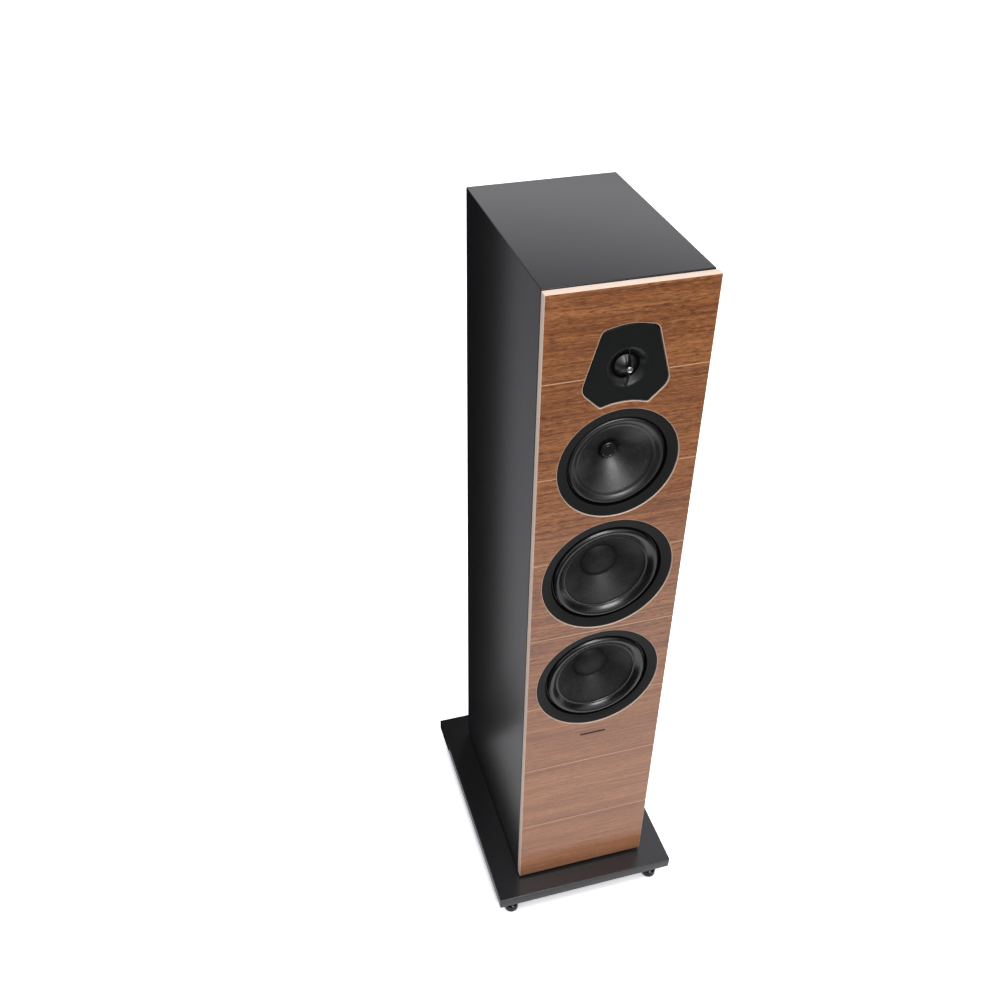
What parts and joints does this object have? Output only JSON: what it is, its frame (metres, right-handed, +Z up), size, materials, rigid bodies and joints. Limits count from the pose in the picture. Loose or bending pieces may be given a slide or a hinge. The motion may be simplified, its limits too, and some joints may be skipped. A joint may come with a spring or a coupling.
{
  "type": "floorstanding speaker",
  "caption": "Slim three-way floorstanding loudspeaker: walnut baffle with tweeter, midrange and woofers, dark cabinet, plinth on levelling feet.",
  "frame": {"origin": "on the floor, under the middle of the plinth", "axes": "+Z up, the drivers face -Y, +X to the right of someone who looks at the front"},
  "size_m": [0.28, 0.378, 1.047],
  "materials": {
    "walnut_veneer": "satin",
    "cabinet_black": "satin",
    "board": "matte",
    "plinth_black": "satin",
    "trim_black": "satin",
    "rubber_black": "matte",
    "cone_paper": "matte",
    "dome_fabric": "satin",
    "spider_fabric": "matte",
    "coil_copper": "satin",
    "basket_metal": "satin",
    "ferrite": "matte",
    "steel": "satin",
    "gold_plate": "polished",
    "gloss_black": "gloss",
    "foot_black": "gloss",
    "knob_red": "gloss",
    "foam_grey": "matte",
    "circuit_board": "satin",
    "film_capacitor": "satin"
  },
  "bodies": {
    "enclosure": {"back_panel": "cabinet_black", "bottom_panel": "board", "cabinet_wrap": "cabinet_black", "crossover_board": "circuit_board", "crossover_capacitor": "film_capacitor", "crossover_inductor": "coil_copper", "damping_mat": "foam_grey", "front_baffle": "walnut_veneer", "inner_baffle": "board", "mid_basket": "basket_metal", "mid_chamber": "board", "mid_magnet": "ferrite", "mid_phase_plug": "gloss_black", "mid_spider": "spider_fabric", "mid_surround": "rubber_black", "mid_trim_ring": "trim_black", "mid_yoke": "steel", "plinth": "plinth_black", "plinth_spacer": "rubber_black", "port_tube": "trim_black", "terminal_plate": "trim_black", "terminal_post_black": "gold_plate", "terminal_post_red": "gold_plate", "tweeter_bridge": "gloss_black", "tweeter_faceplate": "trim_black", "tweeter_motor": "ferrite", "window_brace": "board", "woofer_lower_basket": "basket_metal", "woofer_lower_magnet": "ferrite", "woofer_lower_spider": "spider_fabric", "woofer_lower_surround": "rubber_black", "woofer_lower_trim_ring": "trim_black", "woofer_lower_yoke": "steel", "woofer_upper_basket": "basket_metal", "woofer_upper_magnet": "ferrite", "woofer_upper_spider": "spider_fabric", "woofer_upper_surround": "rubber_black", "woofer_upper_trim_ring": "trim_black", "woofer_upper_yoke": "steel"},
    "woofer_upper_diaphragm": {"woofer_upper_cone": "cone_paper", "woofer_upper_dust_cap": "cone_paper", "woofer_upper_voice_coil": "coil_copper"},
    "woofer_lower_diaphragm": {"woofer_lower_cone": "cone_paper", "woofer_lower_dust_cap": "cone_paper", "woofer_lower_voice_coil": "coil_copper"},
    "mid_diaphragm": {"mid_cone": "cone_paper", "mid_voice_coil": "coil_copper"},
    "tweeter_diaphragm": {"tweeter_dome": "dome_fabric"},
    "foot_pad_front_left_body": {"foot_pad_front_left": "foot_black"},
    "foot_stud_front_left_body": {"foot_stud_front_left": "steel"},
    "foot_pad_front_right_body": {"foot_pad_front_right": "foot_black"},
    "foot_stud_front_right_body": {"foot_stud_front_right": "steel"},
    "foot_pad_rear_left_body": {"foot_pad_rear_left": "foot_black"},
    "foot_stud_rear_left_body": {"foot_stud_rear_left": "steel"},
    "foot_pad_rear_right_body": {"foot_pad_rear_right": "foot_black"},
    "foot_stud_rear_right_body": {"foot_stud_rear_right": "steel"},
    "terminal_collar_red_body": {"terminal_collar_red": "gold_plate"},
    "terminal_knob_red_body": {"terminal_knob_red": "knob_red"},
    "terminal_collar_black_body": {"terminal_collar_black": "gold_plate"},
    "terminal_knob_black_body": {"terminal_knob_black": "gloss_black"}
  },
  "joints": [
    {"name": "woofer_upper_stroke", "type": "slide", "parent": "enclosure", "child": "woofer_upper_diaphragm", "axis": [0, -1, 0], "range_m": [-0.006, 0.006], "stiffness_N_per_m": 600, "deforming": ["woofer_upper_surround", "woofer_upper_spider"]},
    {"name": "woofer_lower_stroke", "type": "slide", "parent": "enclosure", "child": "woofer_lower_diaphragm", "axis": [0, -1, 0], "range_m": [-0.006, 0.006], "stiffness_N_per_m": 600, "deforming": ["woofer_lower_surround", "woofer_lower_spider"]},
    {"name": "mid_stroke", "type": "slide", "parent": "enclosure", "child": "mid_diaphragm", "axis": [0, -1, 0], "range_m": [-0.002, 0.002], "stiffness_N_per_m": 400, "deforming": ["mid_surround", "mid_spider"]},
    {"name": "tweeter_stroke", "type": "slide", "parent": "enclosure", "child": "tweeter_diaphragm", "axis": [0, -1, 0], "range_m": [-0.0004, 0.0004], "stiffness_N_per_m": 10},
    {"name": "foot_front_left_travel", "type": "slide", "parent": "enclosure", "child": "foot_pad_front_left_body", "axis": [0, 0, -1], "range_m": [-0.0001, 0.0076]},
    {"name": "foot_front_left_turn", "type": "hinge", "parent": "foot_pad_front_left_body", "child": "foot_stud_front_left_body", "pos_m": [-0.116, -0.1695, 0.028], "axis": [0, 0, -1], "range_deg": [0, 2160]},
    {"name": "foot_front_right_travel", "type": "slide", "parent": "enclosure", "child": "foot_pad_front_right_body", "axis": [0, 0, -1], "range_m": [-0.0001, 0.0076]},
    {"name": "foot_front_right_turn", "type": "hinge", "parent": "foot_pad_front_right_body", "child": "foot_stud_front_right_body", "pos_m": [0.116, -0.1695, 0.028], "axis": [0, 0, -1], "range_deg": [0, 2160]},
    {"name": "foot_rear_left_travel", "type": "slide", "parent": "enclosure", "child": "foot_pad_rear_left_body", "axis": [0, 0, -1], "range_m": [-0.0001, 0.0076]},
    {"name": "foot_rear_left_turn", "type": "hinge", "parent": "foot_pad_rear_left_body", "child": "foot_stud_rear_left_body", "pos_m": [-0.116, 0.1695, 0.028], "axis": [0, 0, -1], "range_deg": [0, 2160]},
    {"name": "foot_rear_right_travel", "type": "slide", "parent": "enclosure", "child": "foot_pad_rear_right_body", "axis": [0, 0, -1], "range_m": [-0.0001, 0.0076]},
    {"name": "foot_rear_right_turn", "type": "hinge", "parent": "foot_pad_rear_right_body", "child": "foot_stud_rear_right_body", "pos_m": [0.116, 0.1695, 0.028], "axis": [0, 0, -1], "range_deg": [0, 2160]},
    {"name": "terminal_black_travel", "type": "slide", "parent": "enclosure", "child": "terminal_collar_black_body", "axis": [0, 1, 0], "range_m": [-0.0001, 0.0041]},
    {"name": "terminal_black_turn", "type": "hinge", "parent": "terminal_collar_black_body", "child": "terminal_knob_black_body", "pos_m": [-0.019, 0.1385, 0.165], "axis": [0, 1, 0], "range_deg": [0, 1440]},
    {"name": "terminal_red_travel", "type": "slide", "parent": "enclosure", "child": "terminal_collar_red_body", "axis": [0, 1, 0], "range_m": [-0.0001, 0.0041]},
    {"name": "terminal_red_turn", "type": "hinge", "parent": "terminal_collar_red_body", "child": "terminal_knob_red_body", "pos_m": [0.019, 0.1385, 0.165], "axis": [0, 1, 0], "range_deg": [0, 1440]}
  ],
  "couplings": [
    {"joint": "foot_front_left_travel", "follows": "foot_front_left_turn", "m_per_rad": 0.00019894},
    {"joint": "foot_front_right_travel", "follows": "foot_front_right_turn", "m_per_rad": 0.00019894},
    {"joint": "foot_rear_left_travel", "follows": "foot_rear_left_turn", "m_per_rad": 0.00019894},
    {"joint": "foot_rear_right_travel", "follows": "foot_rear_right_turn", "m_per_rad": 0.00019894},
    {"joint": "terminal_black_travel", "follows": "terminal_black_turn", "m_per_rad": 0.00015915},
    {"joint": "terminal_red_travel", "follows": "terminal_red_turn", "m_per_rad": 0.00015915}
  ]
}
